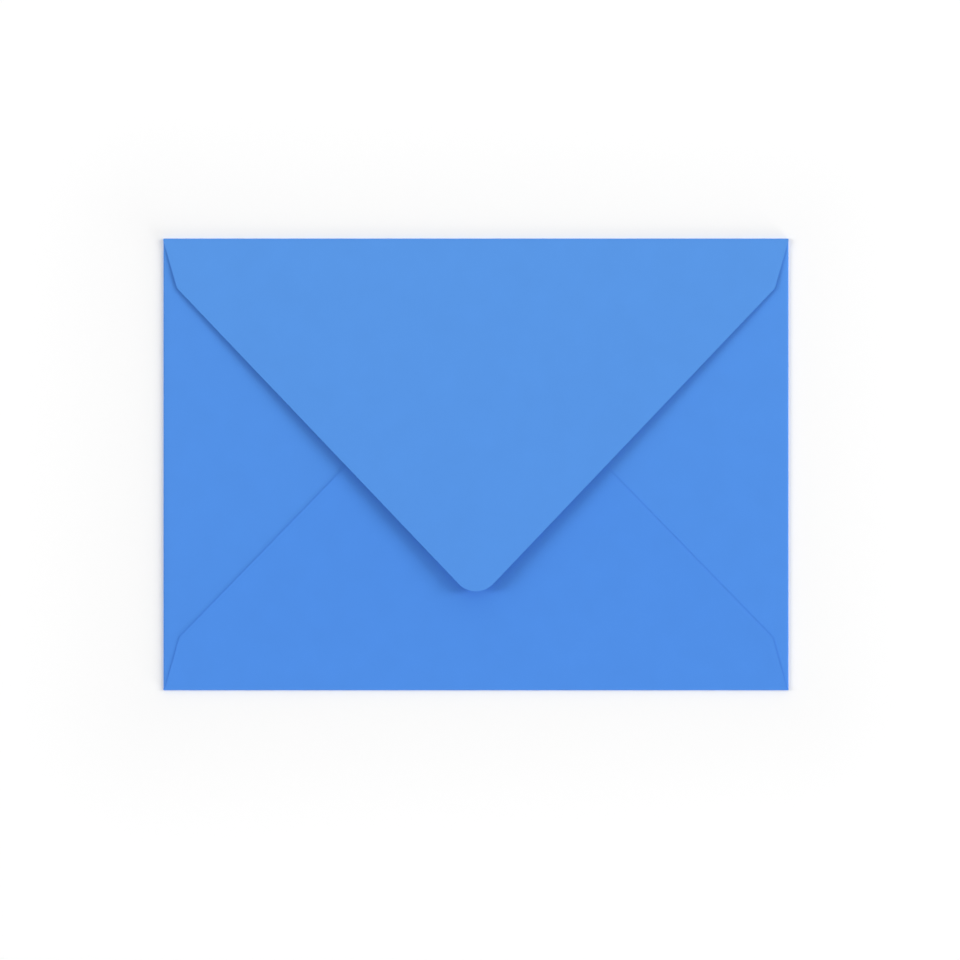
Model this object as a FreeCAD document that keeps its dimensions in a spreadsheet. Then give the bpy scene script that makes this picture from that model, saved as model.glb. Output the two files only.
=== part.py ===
import FreeCAD, Part
import math
import os

import Sketcher

# Paper envelope for a folded card, made from one die-cut sheet of coloured paper.
# The front panel lies face down. The two side flaps fold in over it, the bottom flap
# folds up over them and is glued to them along its two diagonal edges, and the pointed
# top flap folds down over everything. It isn't stuck, so it springs up a little.
#
# Units are millimetres. The origin is the centre of the front panel's outer face,
# +X runs along the long edge, +Y up to the top flap's crease, +Z out of the back.
#
# Each flap is a body in a frame of its own: the outer edge of its crease lies on local
# X, the flap runs in along local +Y, and the front panel's outer face is at local Z 0.
# The body's placement then turns it to its edge of the envelope.

# Driving sizes, one row of the spreadsheet each: alias, value and what it measures.
SIZES = (
    ("envelope_width", 184.0, "outside width, along the top flap's crease"),
    ("envelope_height", 133.0, "outside height, from the bottom crease to the top one"),
    ("paper_thickness", 0.15, "one layer of the sheet"),
    ("pocket_gap", 0.70, "free height between the front panel and the side flaps"),
    ("flap_clearance", 0.05, "air between the side flaps and the top flap's crease"),
    ("shoulder_step", 4.1, "how far each flap's shoulders lean in from its crease's ends"),
    ("shoulder_radius", 3.0, "rounding where a shoulder meets a diagonal edge"),
    ("top_shoulder", 14.7, "top flap: depth of its shoulders"),
    ("top_point_margin", 26.15, "bottom crease to where the top flap's diagonals meet"),
    ("top_tip_radius", 7.0, "top flap: rounding of its tip"),
    ("top_lift", 2.9, "top flap: angle at which it springs up from its crease"),
    ("top_bow_radius", 7500.0, "top flap: radius of its slight bow back down"),
    ("bottom_shoulder", 15.2, "bottom flap: depth of its shoulders"),
    ("bottom_crown_margin", 43.0, "top crease to the bottom flap's cut-off apex"),
    ("bottom_crown", 30.0, "bottom flap: width of its cut-off apex"),
    ("side_shoulder", 14.9, "side flaps: depth of their shoulders"),
    ("side_crown_spacing", 41.2, "distance between the two side flaps' cut-off apexes"),
    ("side_crown", 12.0, "side flaps: width of their cut-off apexes"),
    ("crown_radius", 5.0, "rounding of the cut-off apexes' corners"),
)

# Inner radius of each crease. The side flaps close the pocket, the bottom flap lies
# against the side flaps, and the top flap starts clear of them.
SIDE_BEND = "(Sizes.pocket_gap / 2)"
BOTTOM_BEND = "((Sizes.pocket_gap + Sizes.paper_thickness) / 2)"
TOP_BEND = "((Sizes.pocket_gap + Sizes.paper_thickness + Sizes.flap_clearance) / 2)"

HALF_WIDTH = "(Sizes.envelope_width / 2)"
HALF_HEIGHT = "(Sizes.envelope_height / 2)"

QUARTER_TURN = math.pi / 2

# Numbers by which sketch constraints name the points of a line or an arc, the sketch's
# own axes and its origin.
START, END, CENTRE = range(1, 4)
HORIZONTAL_AXIS, VERTICAL_AXIS = range(-1, -3, -1)
ORIGIN = (HORIZONTAL_AXIS, START)


def outer(bend):
    """Outer radius of the crease whose inner radius is bend."""
    return f"({bend} + Sizes.paper_thickness)"


# Where the front panel and the creases meet. The side creases are as long as the panel's
# edges, and the other two run on into the envelope's corners.
HALF_PANEL_WIDTH = f"({HALF_WIDTH} - {outer(SIDE_BEND)})"
PANEL_HEIGHT = f"(Sizes.envelope_height - {outer(BOTTOM_BEND)} - {outer(TOP_BEND)})"
PANEL_BOTTOM = f"({outer(BOTTOM_BEND)} - {HALF_HEIGHT})"
PANEL_MIDDLE = f"({PANEL_BOTTOM} + {PANEL_HEIGHT} / 2)"


def make_sheet(doc):
    """Writes the driving sizes to a spreadsheet, one alias a row."""
    sheet = doc.addObject("Spreadsheet::Sheet", "Sizes")
    for row, (alias, value, note) in enumerate(SIZES, start=1):
        sheet.set(f"A{row}", alias)
        sheet.set(f"B{row}", str(value))
        sheet.setAlias(f"B{row}", alias)
        sheet.set(f"C{row}", note)
    doc.recompute()
    return sheet


def number(sheet, expression):
    """Value of an expression of the driving sizes, as a plain number."""
    return float(sheet.evalExpression(expression))


def new_sketch(body, name, role):
    """Empty sketch on the origin plane of its body that has the role."""
    sketch = body.newObject("Sketcher::SketchObject", name)
    plane = next(f for f in body.Origin.OriginFeatures if f.Role == role)
    sketch.AttachmentSupport = (plane, "")
    sketch.MapMode = "FlatFace"
    return sketch


def bind(sheet, sketch, kind, elements, expression):
    """Adds a dimension between elements and ties it to an expression of the sizes."""
    constraint = Sketcher.Constraint(kind, *elements, number(sheet, expression))
    index = sketch.addConstraint(constraint)
    sketch.setExpression(f"Constraints[{index}]", expression)


def relate(sketch, kind, *elements):
    """Adds a constraint that has no size, such as Coincident or Vertical."""
    sketch.addConstraint(Sketcher.Constraint(kind, *elements))


def add_line(sketch, start, end):
    """Adds a straight edge between two points of the sketch."""
    ends = [FreeCAD.Vector(*point, 0) for point in (start, end)]
    return sketch.addGeometry(Part.LineSegment(*ends), False)


def add_arc(sketch, centre, radius, start_angle, end_angle):
    """Adds an arc that turns anticlockwise from one angle to the other, in radians."""
    circle = Part.Circle(FreeCAD.Vector(*centre, 0), FreeCAD.Vector(0, 0, 1), radius)
    return sketch.addGeometry(Part.ArcOfCircle(circle, start_angle, end_angle), False)


def draw_crease(sheet, sketch, bend, lift=None):
    """Draws a crease's outer and inner arc and its end on the front panel.

    The arcs turn from where the flap starts back round to the front panel: half a turn,
    less the angle by which the flap lifts.
    """
    lift_angle = math.radians(number(sheet, lift)) if lift else 0
    middle = number(sheet, outer(bend))
    arcs = []
    for radius in (outer(bend), bend):
        arc = add_arc(
            sketch,
            (middle, middle),
            number(sheet, radius),
            QUARTER_TURN + lift_angle,
            3 * QUARTER_TURN,
        )
        bind(sheet, sketch, "Radius", (arc,), radius)
        relate(sketch, "Vertical", arc, CENTRE, arc, END)
        if lift:
            setback = f"{radius} * sin({lift} * 1 deg)"
            bind(sheet, sketch, "DistanceX", (arc, START, arc, CENTRE), setback)
        else:
            relate(sketch, "Vertical", arc, CENTRE, arc, START)
        arcs.append(arc)
    outside, inside = arcs
    relate(sketch, "Coincident", outside, CENTRE, inside, CENTRE)
    bind(sheet, sketch, "DistanceX", (*ORIGIN, outside, CENTRE), outer(bend))
    bind(sheet, sketch, "DistanceY", (*ORIGIN, outside, CENTRE), outer(bend))
    panel_end = add_line(sketch, (middle, 0), (middle, middle - number(sheet, bend)))
    relate(sketch, "Coincident", outside, END, panel_end, START)
    relate(sketch, "Coincident", inside, END, panel_end, END)
    return outside, inside


def draw_flat_strip(sheet, sketch, bend, reach):
    """Draws the section of a crease and of the flap that it lays flat."""
    outside, inside = draw_crease(sheet, sketch, bend)
    crease_end = number(sheet, outer(bend))
    flap_end = number(sheet, reach)
    top = 2 * crease_end
    underside = top - number(sheet, "Sizes.paper_thickness")
    upper = add_line(sketch, (crease_end, top), (flap_end, top))
    lower = add_line(sketch, (crease_end, underside), (flap_end, underside))
    edge = add_line(sketch, (flap_end, top), (flap_end, underside))
    relate(sketch, "Coincident", outside, START, upper, START)
    relate(sketch, "Coincident", inside, START, lower, START)
    relate(sketch, "Coincident", upper, END, edge, START)
    relate(sketch, "Coincident", lower, END, edge, END)
    relate(sketch, "Horizontal", upper)
    relate(sketch, "Horizontal", lower)
    relate(sketch, "Vertical", edge)
    bind(sheet, sketch, "DistanceX", (*ORIGIN, edge, START), reach)


def draw_sprung_strip(sheet, sketch, bend, reach):
    """Draws the section of a crease that has sprung open and of its bowed flap.

    The bow's arcs leave the crease's arcs without a kink, so their common centre is on
    the line from the start of the flap through the crease's own centre.
    """
    lift = "Sizes.top_lift"
    bow_radius = "Sizes.top_bow_radius"
    outer_bow_radius = f"({bow_radius} + Sizes.paper_thickness)"
    bow_centre = f"({outer(bend)} + ({bow_radius} - {bend}) * sin({lift} * 1 deg))"
    bow_drop = f"(({bow_radius} - {bend}) * cos({lift} * 1 deg) - {outer(bend)})"
    outside, inside = draw_crease(sheet, sketch, bend, lift)
    centre = (number(sheet, bow_centre), -number(sheet, bow_drop))
    flap_end = number(sheet, reach)
    start_angle = QUARTER_TURN + math.radians(number(sheet, lift))
    bows = []
    ends = []
    for radius in (outer_bow_radius, bow_radius):
        length = number(sheet, radius)
        end_angle = math.acos((flap_end - centre[0]) / length)
        bows.append(add_arc(sketch, centre, length, end_angle, start_angle))
        ends.append((flap_end, centre[1] + length * math.sin(end_angle)))
    upper, lower = bows
    edge = add_line(sketch, *ends)
    relate(sketch, "Coincident", upper, CENTRE, lower, CENTRE)
    relate(sketch, "Coincident", outside, START, upper, END)
    relate(sketch, "Coincident", inside, START, lower, END)
    relate(sketch, "Coincident", upper, START, edge, START)
    relate(sketch, "Coincident", lower, START, edge, END)
    relate(sketch, "Vertical", edge)
    bind(sheet, sketch, "Radius", (upper,), outer_bow_radius)
    bind(sheet, sketch, "DistanceX", (*ORIGIN, upper, CENTRE), bow_centre)
    bind(sheet, sketch, "DistanceX", (*ORIGIN, edge, START), reach)


def draw_symmetric_outline(sheet, sketch, right_corners, tip=None):
    """Draws a closed outline that is symmetric about the sketch's vertical axis.

    It runs through the right-hand corners, the tip on the axis where there is one, and
    the mirror images of the corners. A corner is its x, its y and its rounding, or None
    where it is sharp, and a tip is its y and its rounding.
    """
    corners = [(number(sheet, x), number(sheet, y), r) for x, y, r in right_corners]
    left = [(-x, y, radius) for x, y, radius in reversed(corners)]
    middle = [(0, number(sheet, tip[0]), tip[1])] if tip else []
    outline = corners + middle + left
    count = len(outline)
    for i, corner in enumerate(outline):
        add_line(sketch, corner[:2], outline[(i + 1) % count][:2])
    for i in range(count):
        relate(sketch, "Coincident", i, END, (i + 1) % count, START)

    # Rounding a corner leaves a point where it was sharp, next after the new arc.
    points = [(i, START) for i in range(count)]
    arcs = {}
    for i, (_, _, radius) in enumerate(outline):
        if radius:
            arcs[i] = sketch.GeometryCount
            points[i] = (arcs[i] + 1, START)
            sketch.fillet((i - 1) % count, END, number(sheet, radius), True, True)

    for i, (x, y, radius) in enumerate(right_corners):
        bind(sheet, sketch, "DistanceX", (*ORIGIN, *points[i]), x)
        bind(sheet, sketch, "DistanceY", (*ORIGIN, *points[i]), y)
        mirror_image = count - 1 - i
        relate(sketch, "Symmetric", *points[mirror_image], *points[i], VERTICAL_AXIS)
        if radius:
            bind(sheet, sketch, "Radius", (arcs[i],), radius)
            relate(sketch, "Equal", arcs[i], arcs[mirror_image])
    if tip:
        i = len(right_corners)
        y, radius = tip
        relate(sketch, "PointOnObject", *points[i], VERTICAL_AXIS)
        bind(sheet, sketch, "DistanceY", (*ORIGIN, *points[i]), y)
        bind(sheet, sketch, "Radius", (arcs[i],), radius)


def make_flap(
    doc, sheet, name, half_edge, half_crease, half_root, bend, shoulder, reach, apex
):
    """Makes one flap with its crease, in its own frame.

    The folded strip is as wide as the crease, and the die's waste is then cut from both
    its sides, from the flap's root in. The apex is the half width of a crown, or None
    for the top flap's tip.
    """
    body = doc.addObject("PartDesign::Body", name)
    section = new_sketch(body, f"{name}_section", "YZ_Plane")
    if apex:
        draw_flat_strip(sheet, section, bend, reach)
    else:
        draw_sprung_strip(sheet, section, bend, reach)
    strip = body.newObject("PartDesign::Pad", f"{name}_strip")
    strip.Profile = section
    strip.Midplane = True
    strip.setExpression("Length", f"2 * {half_crease}")

    waste = new_sketch(body, f"{name}_waste", "XY_Plane")
    right_corners = [
        (f"2 * {half_edge}", f"2 * {reach}", None),
        (f"2 * {half_edge}", outer(bend), None),
        (half_root, outer(bend), None),
        (f"({half_edge} - Sizes.shoulder_step)", shoulder, "Sizes.shoulder_radius"),
    ]
    if apex:
        right_corners.append((apex, reach, "Sizes.crown_radius"))
        draw_symmetric_outline(sheet, waste, right_corners)
    else:
        tip = (reach, "Sizes.top_tip_radius")
        draw_symmetric_outline(sheet, waste, right_corners, tip)
    trim = body.newObject("PartDesign::Pocket", f"{name}_trim")
    trim.Profile = waste
    trim.Type = "ThroughAll"
    trim.Reversed = True
    body.Tip = trim
    return body


def put_on_edge(body, turn, x=None, y=None):
    """Turns a flap's frame about Z, in degrees, and moves it to its edge."""
    about_z = FreeCAD.Rotation(FreeCAD.Vector(0, 0, 1), turn)
    body.Placement = FreeCAD.Placement(FreeCAD.Vector(), about_z)
    if x:
        body.setExpression("Placement.Base.x", x)
    if y:
        body.setExpression("Placement.Base.y", y)


def make_front_panel(doc):
    """Makes the flat front panel, between the four creases."""
    panel = doc.addObject("Part::Box", "front_panel")
    panel.setExpression("Length", f"2 * {HALF_PANEL_WIDTH}")
    panel.setExpression("Width", PANEL_HEIGHT)
    panel.setExpression("Height", "Sizes.paper_thickness")
    panel.setExpression("Placement.Base.x", f"-1 * {HALF_PANEL_WIDTH}")
    panel.setExpression("Placement.Base.y", PANEL_BOTTOM)
    return panel


def make_top_flap(doc, sheet):
    """Makes the pointed flap that closes the envelope, sprung up from its crease."""
    reach = "(Sizes.envelope_height - Sizes.top_point_margin)"
    flap = make_flap(
        doc,
        sheet,
        "top_flap",
        half_edge=HALF_WIDTH,
        half_crease=HALF_WIDTH,
        half_root=HALF_WIDTH,
        bend=TOP_BEND,
        shoulder="Sizes.top_shoulder",
        reach=reach,
        apex=None,
    )
    put_on_edge(flap, 180, y=HALF_HEIGHT)
    return flap


def make_bottom_flap(doc, sheet):
    """Makes the flap that folds up over the side flaps and is glued to them."""
    flap = make_flap(
        doc,
        sheet,
        "bottom_flap",
        half_edge=HALF_WIDTH,
        half_crease=HALF_WIDTH,
        half_root=HALF_PANEL_WIDTH,
        bend=BOTTOM_BEND,
        shoulder="Sizes.bottom_shoulder",
        reach="(Sizes.envelope_height - Sizes.bottom_crown_margin)",
        apex="Sizes.bottom_crown / 2",
    )
    put_on_edge(flap, 0, y=f"-1 * {HALF_HEIGHT}")
    return flap


def make_side_flaps(doc, sheet):
    """Makes the two flaps that fold in first, one from each short edge."""
    flaps = []
    for name, turn, edge in (
        ("left_flap", -90, f"-1 * {HALF_WIDTH}"),
        ("right_flap", 90, HALF_WIDTH),
    ):
        flap = make_flap(
            doc,
            sheet,
            name,
            half_edge=HALF_HEIGHT,
            half_crease=f"({PANEL_HEIGHT} / 2)",
            half_root=f"({PANEL_HEIGHT} / 2)",
            bend=SIDE_BEND,
            shoulder="Sizes.side_shoulder",
            reach=f"({HALF_WIDTH} - Sizes.side_crown_spacing / 2)",
            apex="Sizes.side_crown / 2",
        )
        put_on_edge(flap, turn, x=edge, y=PANEL_MIDDLE)
        flaps.append(flap)
    return flaps


def join_sheet(doc, pieces):
    """Joins the panel and the flaps into the one sheet that they are cut from.

    The bottom flap lies face to face with the side flaps, so this glues them as well.
    """
    envelope = doc.addObject("Part::MultiFuse", "envelope")
    envelope.Shapes = pieces
    envelope.Refine = True
    envelope.Label = "envelope"
    return envelope


def check_document(doc, envelope):
    """Raises an error unless every object is sound and the envelope is one solid."""
    failed = [o.Name for o in doc.Objects if {"Invalid", "Error"} & set(o.State)]
    if failed:
        raise RuntimeError(f"these objects failed: {failed}")
    for body in doc.findObjects("PartDesign::Body"):
        strip, trim = (f for f in body.Group if not f.isDerivedFrom("Part::Part2DObject"))
        if not trim.Shape.Volume < strip.Shape.Volume:
            raise RuntimeError(f"the die's waste isn't cut from {body.Name}")
    shape = envelope.Shape
    if shape.isNull() or not shape.isValid() or len(shape.Solids) != 1:
        raise RuntimeError("the envelope isn't one valid solid")


def main():
    """Builds the envelope and writes it to its STEP file."""
    doc = FreeCAD.newDocument("paper_envelope")
    sheet = make_sheet(doc)
    pieces = [
        make_front_panel(doc),
        *make_side_flaps(doc, sheet),
        make_bottom_flap(doc, sheet),
        make_top_flap(doc, sheet),
    ]
    envelope = join_sheet(doc, pieces)
    doc.recompute()
    check_document(doc, envelope)
    os.makedirs("parts", exist_ok=True)
    envelope.Shape.exportStep(f"parts/{envelope.Label}.step")
    box = envelope.Shape.BoundBox
    print(f"envelope {box.XLength:.2f} x {box.YLength:.2f} x {box.ZLength:.2f} mm")
    print(f"paper {envelope.Shape.Volume:.1f} cubic mm")


main()
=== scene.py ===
"""Dresses the paper envelope: the folded sheet, its paper, and a plain white studio.

The sheet is modelled as it is made. A front panel carries four creases, and each crease
carries a die-cut flap. The side flaps fold in first, the bottom flap is glued over them,
and the top flap springs up over all three. Lengths are in metres and angles in degrees.
"""

import logging
import math
from dataclasses import dataclass
from enum import Enum

import bmesh
import bpy
from mathutils import Matrix, Vector
from mathutils.geometry import delaunay_2d_cdt, intersect_point_line


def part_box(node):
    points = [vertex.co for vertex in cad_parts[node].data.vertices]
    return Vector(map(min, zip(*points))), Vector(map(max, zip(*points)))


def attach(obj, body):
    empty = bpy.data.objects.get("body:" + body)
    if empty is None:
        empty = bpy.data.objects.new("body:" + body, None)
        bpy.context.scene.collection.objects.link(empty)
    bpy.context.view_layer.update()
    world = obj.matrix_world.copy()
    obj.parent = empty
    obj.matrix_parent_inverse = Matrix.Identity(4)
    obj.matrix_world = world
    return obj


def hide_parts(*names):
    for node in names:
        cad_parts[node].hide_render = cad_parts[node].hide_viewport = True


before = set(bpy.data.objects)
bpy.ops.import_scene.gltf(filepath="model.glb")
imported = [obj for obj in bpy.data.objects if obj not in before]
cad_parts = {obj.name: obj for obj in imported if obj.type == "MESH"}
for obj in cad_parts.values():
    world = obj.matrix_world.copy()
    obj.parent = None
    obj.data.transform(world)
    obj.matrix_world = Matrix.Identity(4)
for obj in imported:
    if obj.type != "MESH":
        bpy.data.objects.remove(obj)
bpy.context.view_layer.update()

LOG = logging.getLogger("envelope")
MM = 0.001
# Mesh layer of painted sheen, from 0 to 1: it turns the paper lighter and paler on the top
# flap and the side flaps, more towards the envelope's top edge.
PAINTED_SHEEN_LAYER = "painted_sheen_share"

Point = tuple[float, float]


class Edge(Enum):
    """Edges of the front panel, each with the turn that brings its flap's frame there.

    In a flap's own frame its crease runs along X and the flap goes in along +Y.
    """

    BOTTOM = 0
    RIGHT = 90
    TOP = 180
    LEFT = -90

    @property
    def is_long(self) -> bool:
        """Whether this is one of the envelope's two long edges."""
        return self in (Edge.BOTTOM, Edge.TOP)


@dataclass(frozen=True)
class Corner:
    """Corner of a die-cut outline.

    Args:
        x: Place along the crease, from its middle.
        y: Depth below the crease's outer edge.
        radius: Rounding, or 0 for a sharp corner.
    """

    x: float
    y: float
    radius: float = 0.0

    def mirrored(self) -> "Corner":
        """Returns the same corner on the flap's other side."""
        return Corner(-self.x, self.y, self.radius)

    def vector(self) -> Vector:
        """Returns the sharp corner's place."""
        return Vector((self.x, self.y))


@dataclass(frozen=True)
class CutLine:
    """Die-cut line of a flap, from one end of its crease round to the other.

    Args:
        corners: The line's corners in order, its two ends included.
        step: Longest distance between two points of the line.
        arc_steps: Number of chords in a rounded corner.
    """

    corners: tuple[Corner, ...]
    step: float = 1.6 * MM
    arc_steps: int = 18

    def points(self) -> list[Point]:
        """Returns the line's points, with its corners rounded and its runs divided."""
        chain = [self.corners[0].vector()]
        for before, corner, after in zip(self.corners, self.corners[1:], self.corners[2:]):
            chain += self._rounded(before.vector(), corner, after.vector())
        chain.append(self.corners[-1].vector())
        line = [chain[0]]
        for start, end in zip(chain, chain[1:]):
            parts = max(1, math.ceil((end - start).length / self.step))
            line += [start.lerp(end, i / parts) for i in range(1, parts + 1)]
        return [(point.x, point.y) for point in line]

    def _rounded(self, before: Vector, corner: Corner, after: Vector) -> list[Vector]:
        """Replaces a corner by its rounding.

        Args:
            before: Corner before it.
            corner: The corner itself.
            after: Corner after it.

        Returns:
            The points of the arc, or the corner alone where it is sharp.
        """
        tip = corner.vector()
        if not corner.radius:
            return [tip]
        towards = (before - tip).normalized()
        away = (after - tip).normalized()
        half_angle = towards.angle(away) / 2
        start = tip + towards * (corner.radius / math.tan(half_angle))
        bisector = (towards + away).normalized()
        centre = tip + bisector * (corner.radius / math.sin(half_angle))
        spoke = start - centre
        turn = math.pi - 2 * half_angle
        if spoke.cross(tip - centre) < 0:
            turn = -turn
        angles = (turn * i / self.arc_steps for i in range(self.arc_steps + 1))
        return [centre + Matrix.Rotation(angle, 2) @ spoke for angle in angles]


@dataclass(frozen=True)
class Crease:
    """Half-round fold from the front panel up to a flap, in the flap's own frame.

    Args:
        inner_radius: Radius of the inside of the fold.
        thickness: Thickness of the paper.
        lift: Angle at which the flap springs up from lying flat.
        steps: Number of chords in the fold.
    """

    inner_radius: float
    thickness: float
    lift: float = 0.0
    steps: int = 12

    @property
    def outer_radius(self) -> float:
        """Radius of the outside of the fold."""
        return self.inner_radius + self.thickness

    @property
    def radius(self) -> float:
        """Radius of the middle of the paper in the fold."""
        return self.inner_radius + self.thickness / 2

    @property
    def end(self) -> Point:
        """The (y, z) place where the middle of the paper leaves the fold."""
        return self.profile()[-1]

    def profile(self) -> list[Point]:
        """Returns the (y, z) points of the middle of the paper, front panel first."""
        turn = math.pi - math.radians(self.lift)
        straight_down = 1.5 * math.pi
        angles = (straight_down - turn * i / self.steps for i in range(self.steps + 1))
        middle = self.outer_radius
        return [
            (middle + self.radius * math.cos(angle), middle + self.radius * math.sin(angle))
            for angle in angles
        ]


@dataclass(frozen=True)
class Bow:
    """Slight bend of a sprung flap back down towards the envelope.

    Args:
        crease: Crease that the flap leaves without a kink.
        radius: Radius of the bend.
    """

    crease: Crease
    radius: float

    def height(self, y: float) -> float:
        """Height of the middle of the paper.

        Args:
            y: Depth below the crease's outer edge.

        Returns:
            The height above the front panel's outer face.
        """
        start_y, start_z = self.crease.end
        lift = math.radians(self.crease.lift)
        centre_y = start_y + self.radius * math.sin(lift)
        centre_z = start_z - self.radius * math.cos(lift)
        return centre_z + math.sqrt(self.radius**2 - (y - centre_y) ** 2)


@dataclass(frozen=True)
class Belly:
    """Faint swell of the back where the folded paper pushes against itself.

    Args:
        half_width: Half of the distance between the side creases.
        low: Place of the bottom crease along the short edge.
        high: Place of the top crease.
        rise: Rise in the middle of the back.
    """

    half_width: float
    low: float
    high: float
    rise: float

    def height(self, x: float, y: float) -> float:
        """Rise at a place on the envelope.

        Args:
            x: Place along the long edge, from the centre.
            y: Place along the short edge, from the centre.

        Returns:
            The rise, which is zero along the four creases.
        """
        middle = (self.low + self.high) / 2
        half_height = (self.high - self.low) / 2
        across = max(0.0, 1 - (x / self.half_width) ** 2)
        along = max(0.0, 1 - ((y - middle) / half_height) ** 2)
        return self.rise * across * along


@dataclass(frozen=True)
class Flap:
    """One flap of the sheet with its crease.

    Args:
        edge: Edge of the envelope that the flap folds over.
        middle: Middle of that edge, on the envelope's outline.
        half_panel_edge: Half of the length of the front panel's edge.
        crease: The fold.
        cut: Die-cut line.
        overrun: How far the crease runs on into the envelope's corners.
        painted_sheen: Share of painted sheen on the flap at the envelope's bottom and at its
            top, up to 1.
        belly: Swell that the flap follows, or None.
        bow: Bend of a sprung flap, or None where the flap lies flat.
        seam_lift: How far the paper stands off along the cut line.
        seam_reach: Width of the strip that stands off.
    """

    edge: Edge
    middle: Point
    half_panel_edge: float
    crease: Crease
    cut: CutLine
    overrun: float = 0.0
    painted_sheen: Point = (0.0, 0.0)
    belly: Belly | None = None
    bow: Bow | None = None
    seam_lift: float = 0.0
    seam_reach: float = 3.5 * MM

    # Slack in telling which points of the crease's end the flap hangs on.
    ROOT_SLACK = 0.01 * MM

    def to_sheet(self, x: float, y: float) -> Point:
        """Turns a place in the flap's own frame to one on the envelope."""
        turned = Matrix.Rotation(math.radians(self.edge.value), 2) @ Vector((x, y))
        return turned.x + self.middle[0], turned.y + self.middle[1]

    def height(self, x: float, y: float) -> float:
        """Height of the middle of the paper in the flap.

        Args:
            x: Place along the crease, from its middle.
            y: Depth below the crease's outer edge.

        Returns:
            The height above the front panel's outer face.
        """
        if self.bow:
            return self.bow.height(y)
        crease_y, height = self.crease.end
        if self.belly:
            height += self.belly.height(*self.to_sheet(x, y))
        if self.seam_lift:
            off = self._distance_to_cut(x, y) / self.seam_reach
            start = min(1.0, (y - crease_y) / self.seam_reach)
            height += self.seam_lift * math.exp(-off * off) * start
        return height

    def _distance_to_cut(self, x: float, y: float) -> float:
        """Distance from a place in the flap's own frame to its cut line."""
        place = Vector((x, y))
        distances = []
        for start, end in zip(self.cut.corners, self.cut.corners[1:]):
            nearest, part = intersect_point_line(place, start.vector(), end.vector())
            if part <= 0:
                nearest = start.vector()
            elif part >= 1:
                nearest = end.vector()
            distances.append((place - nearest.to_2d()).length)
        return min(distances)

    def add_to(self, mesh: bmesh.types.BMesh, edge_points: int, grid_step: float) -> None:
        """Adds the crease and the flap to the sheet's middle surface.

        Args:
            mesh: Mesh of the sheet.
            edge_points: Number of points along the front panel's edge.
            grid_step: Distance between points inside the flap.
        """
        along = self._points_along(edge_points)
        rows = [
            [mesh.verts.new((*self.to_sheet(x, y), z)) for x in along]
            for y, z in self.crease.profile()
        ]
        add_strips(mesh, rows)
        crease_y, _ = self.crease.end
        half_root = self.cut.corners[0].x + self.ROOT_SLACK
        root = [(x, crease_y) for x in along if abs(x) < half_root]
        outline = root + self.cut.points()[1:-1]
        places, triangles = fill_outline(outline, grid_step)
        surface = [
            mesh.verts.new((*self.to_sheet(x, y), self.height(x, y))) for x, y in places
        ]
        for triangle in triangles:
            mesh.faces.new([surface[i] for i in triangle])

    def _points_along(self, edge_points: int) -> list[float]:
        """Divides the crease along its length.

        Args:
            edge_points: Number of points along the front panel's edge.

        Returns:
            The places of the points, from the crease's middle.
        """
        spans = edge_points - 1
        along = [self.half_panel_edge * (2 * i / spans - 1) for i in range(edge_points)]
        if self.overrun:
            end = self.half_panel_edge + self.overrun
            along = [-end, *along, end]
        return along


def add_strips(mesh: bmesh.types.BMesh, rows: list[list[bmesh.types.BMVert]]) -> None:
    """Joins rows of points by strips of four-sided faces.

    Args:
        mesh: Mesh of the points.
        rows: The points, with as many in each row.
    """
    for lower, upper in zip(rows, rows[1:]):
        for i in range(len(lower) - 1):
            mesh.faces.new((lower[i], lower[i + 1], upper[i + 1], upper[i]))


def fill_outline(
    outline: list[Point], step: float, margin: float = 0.6, tolerance: float = 1e-9
) -> tuple[list[Point], list[list[int]]]:
    """Fills a closed outline with even triangles.

    Args:
        outline: Points of the outline, in order.
        step: Distance between the points inside it.
        margin: Share of the step that stays free along the outline.
        tolerance: Distance below which two points are taken for one.

    Returns:
        The places of the points and the triangles as indices into them.
    """
    ring = [Vector(point) for point in outline]
    count = len(ring)
    closing = [(i, (i + 1) % count) for i in range(count)]
    low_x, low_y = (min(point[i] for point in ring) for i in (0, 1))
    high_x, high_y = (max(point[i] for point in ring) for i in (0, 1))
    inner = []
    for row in range(1, math.ceil((high_y - low_y) / step)):
        shift = step / 2 * (row % 2)
        for column in range(math.ceil((high_x - low_x) / step)):
            place = Vector((low_x + shift + column * step, low_y + row * step))
            nearest = min((place - point).length_squared for point in ring)
            if nearest > (margin * step) ** 2:
                inner.append(place)
    inside_only = 1
    points, _, faces, *_ = delaunay_2d_cdt(
        ring + inner, closing, [], inside_only, tolerance
    )
    used = sorted({index for face in faces for index in face})
    place_of = {index: place for place, index in enumerate(used)}
    triangles = [[place_of[index] for index in face] for face in faces]
    return [(points[index].x, points[index].y) for index in used], triangles


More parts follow.
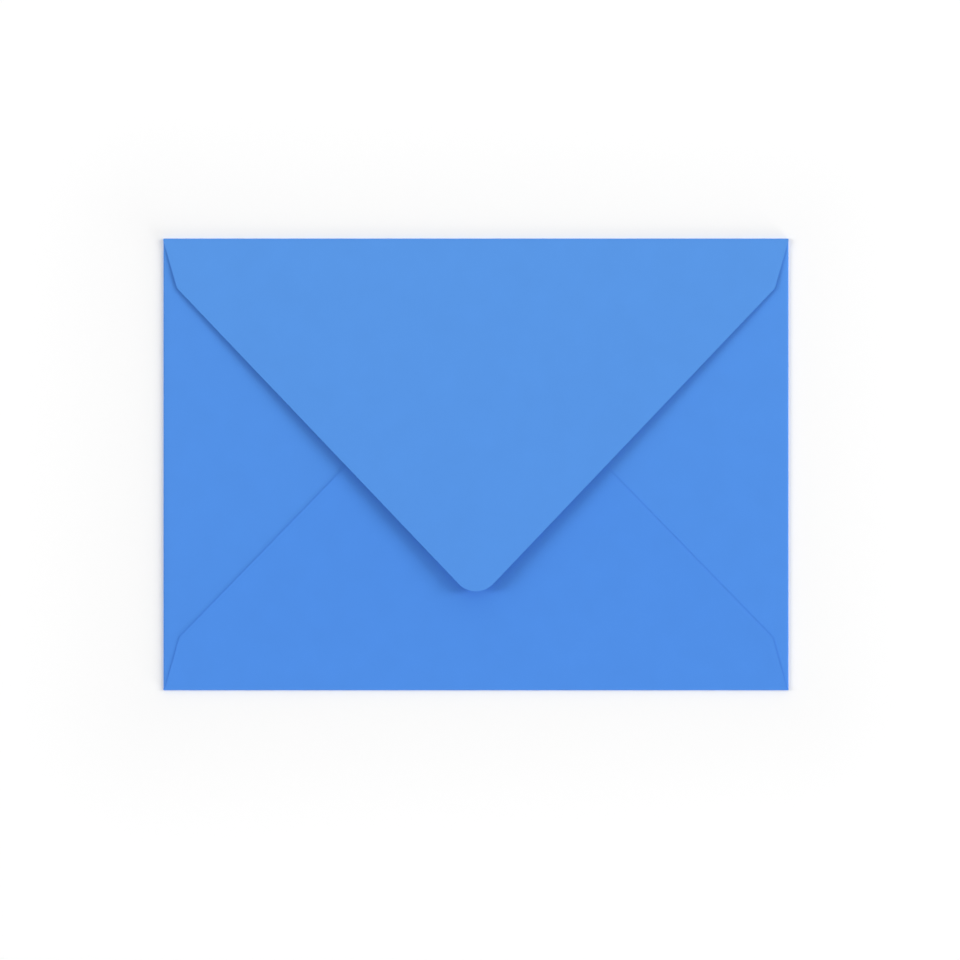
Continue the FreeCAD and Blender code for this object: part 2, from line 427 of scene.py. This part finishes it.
@dataclass(frozen=True)
class FibreNodes:
    """Shader node group for the look of paper: its fibres, tooth and cloudy formation.

    Args:
        name: Name of the node group.
        grain_angle: Angle by which the pattern of the long fibres is turned.
        grain_scale: Scale of that pattern along the fibres, below 1 to draw them out.
    """

    name: str = "paper_fibres"
    grain_angle: float = 35.0
    grain_scale: float = 0.25

    def build(self) -> bpy.types.NodeTree:
        """Makes the node group.

        Returns:
            The group, with the sockets Vector, Cloud Size, Tooth Size, Cloud and Height.
        """
        tree = bpy.data.node_groups.new(self.name, "ShaderNodeTree")
        tree.interface.new_socket("Vector", in_out="INPUT", socket_type="NodeSocketVector")
        for label in ("Cloud Size", "Tooth Size"):
            tree.interface.new_socket(label, in_out="INPUT", socket_type="NodeSocketFloat")
        for label in ("Cloud", "Height"):
            tree.interface.new_socket(label, in_out="OUTPUT", socket_type="NodeSocketFloat")
        entry = tree.nodes.new("NodeGroupInput")
        leave = tree.nodes.new("NodeGroupOutput")

        cloud = self._noise(
            tree,
            place=entry.outputs["Vector"],
            size=entry.outputs["Cloud Size"],
            detail=3.0,
            roughness=0.55,
        )
        tree.links.new(cloud, leave.inputs["Cloud"])

        tooth = self._noise(
            tree,
            place=entry.outputs["Vector"],
            size=entry.outputs["Tooth Size"],
            detail=2.0,
            roughness=0.6,
        )
        stretch = tree.nodes.new("ShaderNodeMapping")
        stretch.inputs["Rotation"].default_value = (0, 0, math.radians(self.grain_angle))
        stretch.inputs["Scale"].default_value = (self.grain_scale, 1.0, 1.0)
        tree.links.new(entry.outputs["Vector"], stretch.inputs["Vector"])
        fibre = self._noise(
            tree,
            place=stretch.outputs["Vector"],
            size=entry.outputs["Tooth Size"],
            detail=1.0,
            roughness=0.5,
        )
        both = tree.nodes.new("ShaderNodeMath")
        both.operation = "ADD"
        tree.links.new(tooth, both.inputs[0])
        tree.links.new(fibre, both.inputs[1])
        tree.links.new(both.outputs["Value"], leave.inputs["Height"])
        return tree

    def _noise(
        self,
        tree: bpy.types.NodeTree,
        place: bpy.types.NodeSocket,
        size: bpy.types.NodeSocket,
        detail: float,
        roughness: float,
    ) -> bpy.types.NodeSocket:
        """Adds a noise texture whose features have a given size.

        Args:
            tree: The node group.
            place: Where the noise is read.
            size: Size of its features.
            detail: Octaves of the noise.
            roughness: Share that each finer octave keeps.

        Returns:
            The noise's value, between 0 and 1.
        """
        scale = tree.nodes.new("ShaderNodeMath")
        scale.operation = "DIVIDE"
        scale.inputs[0].default_value = 1.0
        tree.links.new(size, scale.inputs[1])
        noise = tree.nodes.new("ShaderNodeTexNoise")
        noise.inputs["Detail"].default_value = detail
        noise.inputs["Roughness"].default_value = roughness
        tree.links.new(place, noise.inputs["Vector"])
        tree.links.new(scale.outputs["Value"], noise.inputs["Scale"])
        return noise.outputs["Fac"]


@dataclass(frozen=True)
class PaperFinish:
    """Finish of dyed paper, with a painted sheen mixed in by a mesh layer.

    Args:
        name: Name of the material.
        colour: Colour of the paper where there is no painted sheen, as linear RGB.
        painted_sheen_colour: Lighter, paler colour of the painted sheen, which the mesh layer
            mixes in.
        roughness: Roughness of the surface.
        reflectance: Level of its reflections, where the shader's usual level is 0.5.
        cloud_size: Size of the cloudy patches in the sheet.
        cloud_depth: How much lighter and darker the patches are.
        tooth_size: Size of the fibres' bumps.
        tooth_height: Height of the fibres' bumps.
    """

    name: str
    colour: tuple[float, float, float]
    painted_sheen_colour: tuple[float, float, float]
    roughness: float = 0.85
    reflectance: float = 0.2
    cloud_size: float = 9 * MM
    cloud_depth: float = 0.03
    tooth_size: float = 0.5 * MM
    tooth_height: float = 0.006 * MM

    def build(self, fibres: bpy.types.NodeTree) -> bpy.types.Material:
        """Makes the material.

        Args:
            fibres: Node group of the paper's fibres.

        Returns:
            The material.
        """
        material = bpy.data.materials.new(self.name)
        material.use_nodes = True
        nodes = material.node_tree.nodes
        links = material.node_tree.links
        shader = nodes["Principled BSDF"]
        shader.inputs["Roughness"].default_value = self.roughness
        shader.inputs["Specular IOR Level"].default_value = self.reflectance

        place = nodes.new("ShaderNodeTexCoord")
        texture = nodes.new("ShaderNodeGroup")
        texture.node_tree = fibres
        texture.inputs["Cloud Size"].default_value = self.cloud_size
        texture.inputs["Tooth Size"].default_value = self.tooth_size
        links.new(place.outputs["Object"], texture.inputs["Vector"])

        # Painted sheen: the mesh layer mixes the paper towards a lighter, paler colour, most
        # on the top flap and towards the envelope's top edge.
        painted_sheen_node = nodes.new("ShaderNodeAttribute")
        painted_sheen_node.attribute_name = PAINTED_SHEEN_LAYER
        sheen_mix = nodes.new("ShaderNodeMix")
        sheen_mix.data_type = "RGBA"
        paper_socket, sheen_socket = (socket for socket in sheen_mix.inputs if socket.type == "RGBA")
        paper_socket.default_value = (*self.colour, 1)
        sheen_socket.default_value = (*self.painted_sheen_colour, 1)
        links.new(painted_sheen_node.outputs["Fac"], sheen_mix.inputs["Factor"])

        shade = nodes.new("ShaderNodeMapRange")
        shade.inputs["To Min"].default_value = 1 - self.cloud_depth
        shade.inputs["To Max"].default_value = 1 + self.cloud_depth
        links.new(texture.outputs["Cloud"], shade.inputs["Value"])
        tint = nodes.new("ShaderNodeHueSaturation")
        links.new(sheen_mix.outputs["Result"], tint.inputs["Color"])
        links.new(shade.outputs["Result"], tint.inputs["Value"])
        links.new(tint.outputs["Color"], shader.inputs["Base Color"])

        bump = nodes.new("ShaderNodeBump")
        bump.inputs["Distance"].default_value = self.tooth_height
        links.new(texture.outputs["Height"], bump.inputs["Height"])
        links.new(bump.outputs["Normal"], shader.inputs["Normal"])
        return material


@dataclass(frozen=True)
class FoldedSheet:
    """The envelope: one sheet of paper, cut, folded and glued.

    Args:
        low: Lowest corner of the envelope's box.
        high: Highest corner of the envelope's box.
        thickness: Thickness of the paper.
        pocket_gap: Free height between the front panel and the side flaps.
        flap_clearance: Air between the side flaps and the top flap's crease.
        shoulder_step: How far the other flaps' shoulders lean in.
        shoulder_radius: Rounding where their shoulders meet a diagonal edge.
        top_shoulder: Depth of the top flap's shoulders.
        top_point_margin: Bottom crease to where the top flap's diagonals meet.
        top_tip_radius: Rounding of the top flap's tip.
        top_lift: Angle at which the top flap springs up.
        top_bow_radius: Radius of its slight bow back down.
        bottom_shoulder: Depth of the bottom flap's shoulders.
        bottom_shoulder_step: How far they lean in from its crease's ends.
        bottom_shoulder_radius: Rounding of their corners.
        bottom_crown_margin: Top crease to the bottom flap's cut-off apex.
        bottom_crown: Width of the bottom flap's cut-off apex.
        side_shoulder: Depth of the side flaps' shoulders.
        side_crown_spacing: Distance between the side flaps' cut-off apexes.
        side_crown: Width of the side flaps' cut-off apexes.
        crown_radius: Rounding of the cut-off apexes' corners.
        belly_rise: Swell of the back in its middle.
        seam_lift: How far the bottom flap stands off along its glued edges.
        top_painted_sheen: Share of painted sheen on the top flap, at the envelope's bottom
            and at its top.
        side_painted_sheen: Share of painted sheen on the side flaps, at the envelope's bottom
            and at its top.
        grid_step: Distance between the points of the mesh.
        weld_distance: Distance below which two of its points become one.
        sharp_angle: Angle between two faces from which their edge is sharp.
    """

    low: Vector
    high: Vector
    thickness: float = 0.15 * MM
    pocket_gap: float = 0.70 * MM
    flap_clearance: float = 0.05 * MM
    shoulder_step: float = 4.1 * MM
    shoulder_radius: float = 3.0 * MM
    top_shoulder: float = 14.7 * MM
    top_point_margin: float = 26.15 * MM
    top_tip_radius: float = 7.0 * MM
    top_lift: float = 2.9
    top_bow_radius: float = 7500 * MM
    bottom_shoulder: float = 15.6 * MM
    bottom_shoulder_step: float = 4.7 * MM
    bottom_shoulder_radius: float = 1.0 * MM
    bottom_crown_margin: float = 43.0 * MM
    bottom_crown: float = 30.0 * MM
    side_shoulder: float = 14.9 * MM
    side_crown_spacing: float = 41.2 * MM
    side_crown: float = 12.0 * MM
    crown_radius: float = 5.0 * MM
    belly_rise: float = 0.15 * MM
    seam_lift: float = 0.10 * MM
    # Painted sheen on the top flap and the side flaps, from the envelope's bottom to its top.
    top_painted_sheen: Point = (0.5, 1.0)
    side_painted_sheen: Point = (0.0, 0.5)
    grid_step: float = 2.0 * MM
    weld_distance: float = 0.002 * MM
    sharp_angle: float = 40.0

    @property
    def half_width(self) -> float:
        """Half of the envelope's width."""
        return (self.high.x - self.low.x) / 2

    @property
    def half_height(self) -> float:
        """Half of the envelope's height."""
        return (self.high.y - self.low.y) / 2

    @property
    def side_crease(self) -> Crease:
        """Crease of the side flaps, which closes the pocket."""
        return Crease(self.pocket_gap / 2, self.thickness)

    @property
    def bottom_crease(self) -> Crease:
        """Crease of the bottom flap, which lies on the side flaps."""
        return Crease((self.pocket_gap + self.thickness) / 2, self.thickness)

    @property
    def top_crease(self) -> Crease:
        """Crease of the top flap, which starts clear of the side flaps."""
        room = self.pocket_gap + self.thickness + self.flap_clearance
        return Crease(room / 2, self.thickness, self.top_lift)

    @property
    def half_panel_width(self) -> float:
        """Half of the width between the side creases."""
        return self.half_width - self.side_crease.outer_radius

    @property
    def panel_ends(self) -> Point:
        """Where the front panel meets the bottom and the top crease."""
        return (
            self.bottom_crease.outer_radius - self.half_height,
            self.half_height - self.top_crease.outer_radius,
        )

    @property
    def corner_overrun(self) -> float:
        """How far the long creases run on beyond the front panel, to the outline."""
        return self.half_width - self.half_panel_width

    @property
    def belly(self) -> Belly:
        """Swell of the back between the four creases."""
        return Belly(self.half_panel_width, *self.panel_ends, self.belly_rise)

    def flaps(self) -> tuple[Flap, ...]:
        """Returns the four flaps, in the order in which they fold in."""
        left = self._side_flap(Edge.LEFT, -self.half_width)
        right = self._side_flap(Edge.RIGHT, self.half_width)
        return left, right, self._bottom_flap(), self._top_flap()

    def _side_flap(self, edge: Edge, x: float) -> Flap:
        """Makes a side flap.

        Args:
            edge: Edge that it folds over.
            x: Place of that edge.

        Returns:
            The flap.
        """
        low_end, high_end = self.panel_ends
        half_panel_edge = (high_end - low_end) / 2
        shoulder = Corner(
            self.half_height - self.shoulder_step, self.side_shoulder, self.shoulder_radius
        )
        return Flap(
            edge=edge,
            middle=(x, (low_end + high_end) / 2),
            half_panel_edge=half_panel_edge,
            crease=self.side_crease,
            cut=self._crowned_cut(
                crease_end=Corner(half_panel_edge, self.side_crease.end[0]),
                shoulder=shoulder,
                reach=self.half_width - self.side_crown_spacing / 2,
                half_crown=self.side_crown / 2,
            ),
            painted_sheen=self.side_painted_sheen,
            belly=self.belly,
        )

    def _bottom_flap(self) -> Flap:
        """Makes the bottom flap, which is glued over the side flaps.

        Returns:
            The flap.
        """
        shoulder = Corner(
            self.half_width - self.bottom_shoulder_step,
            self.bottom_shoulder,
            self.bottom_shoulder_radius,
        )
        return Flap(
            edge=Edge.BOTTOM,
            middle=(0.0, -self.half_height),
            half_panel_edge=self.half_panel_width,
            crease=self.bottom_crease,
            cut=self._crowned_cut(
                crease_end=Corner(self.half_panel_width, self.bottom_crease.end[0]),
                shoulder=shoulder,
                reach=2 * self.half_height - self.bottom_crown_margin,
                half_crown=self.bottom_crown / 2,
            ),
            overrun=self.corner_overrun,
            belly=self.belly,
            seam_lift=self.seam_lift,
        )

    def _top_flap(self) -> Flap:
        """Makes the top flap, which springs up over the other three.

        Returns:
            The flap.
        """
        crease_end = Corner(self.half_width, self.top_crease.end[0])
        shoulder = Corner(
            self.half_width - self.shoulder_step, self.top_shoulder, self.shoulder_radius
        )
        point_y = 2 * self.half_height - self.top_point_margin
        return Flap(
            edge=Edge.TOP,
            middle=(0.0, self.half_height),
            half_panel_edge=self.half_panel_width,
            crease=self.top_crease,
            cut=both_sides([crease_end, shoulder], Corner(0.0, point_y, self.top_tip_radius)),
            overrun=self.corner_overrun,
            painted_sheen=self.top_painted_sheen,
            bow=Bow(self.top_crease, self.top_bow_radius),
        )

    def _crowned_cut(
        self, crease_end: Corner, shoulder: Corner, reach: float, half_crown: float
    ) -> CutLine:
        """Cut line of a flap whose apex is cut off.

        Args:
            crease_end: Where the line leaves the crease, on the right.
            shoulder: The shoulder's corner.
            reach: Depth of the cut-off apex.
            half_crown: Half of the cut-off apex's width.

        Returns:
            The cut line.
        """
        crown = Corner(half_crown, reach, self.crown_radius)
        return both_sides([crease_end, shoulder, crown])

    def build(self) -> bpy.types.Object:
        """Makes the folded sheet.

        Returns:
            The piece, with the paper's real thickness and sharp cut edges.
        """
        mesh = bmesh.new()
        columns = round(2 * self.half_panel_width / self.grid_step) + 1
        low_end, high_end = self.panel_ends
        rows = round((high_end - low_end) / self.grid_step) + 1
        self._add_front_panel(mesh, columns, rows)
        painted_sheen_layer = mesh.verts.layers.float.new(PAINTED_SHEEN_LAYER)
        for flap in self.flaps():
            before = len(mesh.verts)
            flap.add_to(mesh, columns if flap.edge.is_long else rows, self.grid_step)
            mesh.verts.ensure_lookup_table()
            # Painted sheen: each flap's share ramps from the envelope's bottom to its top.
            for vert in mesh.verts[before:]:
                height = (vert.co.y - self.low.y) / (self.high.y - self.low.y)
                vert[painted_sheen_layer] = flap.painted_sheen[0] + (flap.painted_sheen[1] - flap.painted_sheen[0]) * height
        bmesh.ops.remove_doubles(mesh, verts=mesh.verts, dist=self.weld_distance)
        bmesh.ops.recalc_face_normals(mesh, faces=mesh.faces)
        data = bpy.data.meshes.new("folded_sheet")
        mesh.to_mesh(data)
        mesh.free()
        sheet = bpy.data.objects.new("folded_sheet", data)
        bpy.context.collection.objects.link(sheet)
        self._thicken(sheet)
        return sheet

    def _add_front_panel(self, mesh: bmesh.types.BMesh, columns: int, rows: int) -> None:
        """Adds the flat front panel.

        Args:
            mesh: Mesh of the sheet.
            columns: Number of points along the long edge.
            rows: Number of points along the short edge.
        """
        low_end, high_end = self.panel_ends
        grid = []
        for row in range(rows):
            y = low_end + (high_end - low_end) * row / (rows - 1)
            xs = (self.half_panel_width * (2 * i / (columns - 1) - 1) for i in range(columns))
            grid.append([mesh.verts.new((x, y, self.thickness / 2)) for x in xs])
        add_strips(mesh, grid)

    def _thicken(self, sheet: bpy.types.Object) -> None:
        """Gives the middle surface the paper's thickness, with sharp cut edges.

        Args:
            sheet: The folded sheet, whose cut edges get the second material.
        """
        solidify = sheet.modifiers.new("paper", "SOLIDIFY")
        solidify.thickness = self.thickness
        solidify.offset = 0.0
        solidify.use_quality_normals = True
        solidify.material_offset_rim = 1
        graph = bpy.context.evaluated_depsgraph_get()
        solid = bpy.data.meshes.new_from_object(sheet.evaluated_get(graph))
        thin = sheet.data
        sheet.modifiers.clear()
        sheet.data = solid
        bpy.data.meshes.remove(thin)
        solid.name = "folded_sheet"
        solid.shade_smooth()
        solid.set_sharp_from_angle(angle=math.radians(self.sharp_angle))

    def dress(self, sheet: bpy.types.Object, face: PaperFinish, cut: PaperFinish) -> None:
        """Gives the sheet its finishes.

        Args:
            sheet: The folded sheet.
            face: Finish of the paper's faces.
            cut: Finish of its cut edges.
        """
        fibres = FibreNodes().build()
        sheet.data.materials.clear()
        for finish in (face, cut):
            sheet.data.materials.append(finish.build(fibres))


def both_sides(half: list[Corner], point: Corner | None = None) -> CutLine:
    """Makes a symmetric cut line from its right half.

    Args:
        half: Corners of the right half, from the crease's end.
        point: Corner in the middle, or None.

    Returns:
        The whole cut line.
    """
    middle = [point] if point else []
    return CutLine((*half, *middle, *(corner.mirrored() for corner in reversed(half))))


@dataclass(frozen=True)
class Softbox:
    """Large soft lamp that faces the envelope's centre.

    Args:
        name: Name of the lamp.
        azimuth: Where it stands, from the top of the picture, clockwise.
        zenith: Angle between straight up and the direction of the lamp.
        width: Width of its face.
        height: Height of its face.
        share: Share of the full light on a level surface that it gives.
        distance: Distance from the envelope.
    """

    name: str
    azimuth: float
    zenith: float
    width: float
    height: float
    share: float
    distance: float = 4.0

    def place(self) -> None:
        """Puts the lamp in the scene."""
        lamp = bpy.data.lights.new(self.name, "AREA")
        lamp.shape = "RECTANGLE"
        lamp.size = self.width
        lamp.size_y = self.height
        around, down = math.radians(self.azimuth), math.radians(self.zenith)
        # Full light makes a white level surface 1 bright. It takes pi watts a square metre,
        # and a facing lamp gives its watts * cos(down) / (pi * distance**2) of them.
        lamp.energy = self.share * math.pi**2 * self.distance**2 / math.cos(down)
        holder = bpy.data.objects.new(self.name, lamp)
        bpy.context.collection.objects.link(holder)
        level = Vector((math.sin(around), math.cos(around), 0.0))
        direction = level * math.sin(down) + Vector((0.0, 0.0, math.cos(down)))
        holder.visible_camera = False
        holder.location = direction * self.distance
        holder.rotation_euler = direction.to_track_quat("Z", "Y").to_euler()


LAMPS = (
    Softbox("left_softbox", azimuth=-86.9, zenith=54.3, width=0.8, height=1.86, share=0.214),
    Softbox("right_softbox", azimuth=82.3, zenith=54.3, width=0.8, height=1.86, share=0.229),
    Softbox("overhead_scrim", azimuth=8.2, zenith=49.3, width=6.4, height=6.4, share=0.284),
    Softbox("low_softbox", azimuth=136.0, zenith=80.0, width=1.12, height=1.12, share=0.078),
)


@dataclass(frozen=True)
class Studio:
    """White studio seen from straight above.

    Args:
        outline: Half of the envelope's width and height.
        floor_size: Side of the square floor.
        floor_drop: Air between the floor and the front panel, which lies on it.
        floor_colour: Lightness of the floor.
        floor_lift: How much lighter the floor looks to the camera away from the envelope;
            nearer in it is left darker, a painted shade round the envelope.
        painted_halo_reach: Distance from the envelope at which the floor looks that much
            lighter, the width of the painted shade round it.
        fill: Light that comes evenly from all round, as a share of the full light.
        lens: Focal length of the camera, in millimetres.
        sensor: Width of its sensor, in millimetres.
        view_width: Width of the picture at the envelope's back.
        aim: Point of the envelope's plane in the middle of the picture.
    """

    outline: Point
    floor_size: float = 6.0
    floor_drop: float = 0.02 * MM
    floor_colour: float = 0.965
    floor_lift: float = 0.05
    painted_halo_reach: float = 50 * MM
    fill: float = 0.346
    lens: float = 135.0
    sensor: float = 36.0
    view_width: float = 282.8 * MM
    aim: Point = (1.19 * MM, -4.6 * MM)

    def build(self, lamps: tuple[Softbox, ...]) -> None:
        """Makes the floor, the lamps, the surrounding light and the camera.

        Args:
            lamps: The soft lamps.
        """
        self._add_floor()
        self._add_surroundings()
        for lamp in lamps:
            lamp.place()
        self._add_camera()
        bpy.context.scene.view_settings.view_transform = "Standard"

    def _add_floor(self) -> None:
        """Adds the white floor, which keeps the envelope's shadow."""
        half = self.floor_size / 2
        data = bpy.data.meshes.new("floor")
        square = ((-half, -half), (half, -half), (half, half), (-half, half))
        corners = [(x, y, -self.floor_drop) for x, y in square]
        data.from_pydata(corners, [], [(0, 1, 2, 3)])
        data.materials.append(self._floor_finish())
        floor = bpy.data.objects.new("floor", data)
        bpy.context.collection.objects.link(floor)

    def _floor_finish(self) -> bpy.types.Material:
        """Makes the floor's finish, matt and a little whiter away from the envelope, so that
        a painted shade stays round the envelope.

        Returns:
            The material.
        """
        material = bpy.data.materials.new("white_floor")
        material.use_nodes = True
        tree = material.node_tree
        shader = tree.nodes["Principled BSDF"]
        shader.inputs["Base Color"].default_value = (*(self.floor_colour,) * 3, 1)
        shader.inputs["Roughness"].default_value = 1.0
        shader.inputs["Specular IOR Level"].default_value = 0.0
        shader.inputs["Emission Color"].default_value = (1, 1, 1, 1)
        # Painted shade: the camera's lift of the floor is 0 at the envelope's outline and
        # grows over the halo's reach, so the floor stays darker round the envelope.
        lift = tree.nodes.new("ShaderNodeMapRange")
        lift.inputs["From Max"].default_value = self.painted_halo_reach
        lift.inputs["To Max"].default_value = self.floor_lift
        tree.links.new(self._distance_from_envelope(tree), lift.inputs["Value"])
        seen = tree.nodes.new("ShaderNodeMath")
        seen.operation = "MULTIPLY"
        tree.links.new(self._seen_share(tree), seen.inputs[0])
        tree.links.new(lift.outputs["Result"], seen.inputs[1])
        tree.links.new(seen.outputs["Value"], shader.inputs["Emission Strength"])
        return material

    def _distance_from_envelope(self, tree: bpy.types.NodeTree) -> bpy.types.NodeSocket:
        """Measures how far a place on the floor is from the envelope's outline.

        Args:
            tree: Nodes of the floor.

        Returns:
            The distance, which is zero under the envelope.
        """
        measured = tree.nodes.new("ShaderNodeTexCoord").outputs["Object"]
        nowhere = (0, 0, 0)
        steps = (
            ("ABSOLUTE", nowhere, "Vector"),
            ("SUBTRACT", (*self.outline, 0), "Vector"),
            ("MAXIMUM", nowhere, "Vector"),
            ("LENGTH", nowhere, "Value"),
        )
        for operation, operand, result in steps:
            step = tree.nodes.new("ShaderNodeVectorMath")
            step.operation = operation
            step.inputs[1].default_value = operand
            tree.links.new(measured, step.inputs[0])
            measured = step.outputs[result]
        return measured

    def _add_surroundings(self) -> None:
        """Adds the even light, and white where the picture looks past the floor."""
        world = bpy.data.worlds.new("studio")
        world.use_nodes = True
        bpy.context.scene.world = world
        tree = world.node_tree
        strength = tree.nodes.new("ShaderNodeMix")
        strength.inputs["A"].default_value = self.fill
        strength.inputs["B"].default_value = 1.0
        background = tree.nodes["Background"]
        background.inputs["Color"].default_value = (1, 1, 1, 1)
        tree.links.new(self._seen_share(tree), strength.inputs["Factor"])
        tree.links.new(strength.outputs["Result"], background.inputs["Strength"])

    def _seen_share(self, tree: bpy.types.NodeTree) -> bpy.types.NodeSocket:
        """Tells the rays that show the background from the rays that light the object.

        Args:
            tree: Nodes of the floor or of the world.

        Returns:
            1 for a ray that the camera sees, also in a reflection or through glass.
        """
        ray = tree.nodes.new("ShaderNodeLightPath")
        seen = ray.outputs["Is Camera Ray"]
        for kind in ("Is Glossy Ray", "Is Transmission Ray"):
            either = tree.nodes.new("ShaderNodeMath")
            either.operation = "MAXIMUM"
            tree.links.new(seen, either.inputs[0])
            tree.links.new(ray.outputs[kind], either.inputs[1])
            seen = either.outputs["Value"]
        return seen

    def _add_camera(self) -> None:
        """Adds the camera, straight above the envelope."""
        data = bpy.data.cameras.new("camera")
        data.lens = self.lens
        data.sensor_width = self.sensor
        camera = bpy.data.objects.new("camera", data)
        bpy.context.collection.objects.link(camera)
        camera.location = (*self.aim, self.view_width * self.lens / self.sensor)
        bpy.context.scene.camera = camera


def main() -> None:
    """Builds the envelope and its studio."""
    logging.basicConfig(level=logging.INFO, format="%(message)s")
    envelope = FoldedSheet(*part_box("envelope"))
    sheet = envelope.build()
    # Each finish's second colour is a painted sheen, lighter and paler than the paper.
    face = PaperFinish(
        "dyed_paper", colour=(0.0726, 0.2655, 0.790), painted_sheen_colour=(0.093, 0.302, 0.783)
    )
    cut = PaperFinish("cut_edge", colour=(0.10, 0.30, 0.80), painted_sheen_colour=(0.12, 0.33, 0.81))
    envelope.dress(sheet, face, cut)
    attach(sheet, "root")
    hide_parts("envelope")
    LOG.info("folded_sheet: %d faces", len(sheet.data.polygons))

    studio = Studio(outline=(envelope.half_width, envelope.half_height))
    studio.build(LAMPS)
    LOG.info("studio: white floor, %d soft lamps, camera from above", len(LAMPS))


if __name__ == "__main__":
    main()
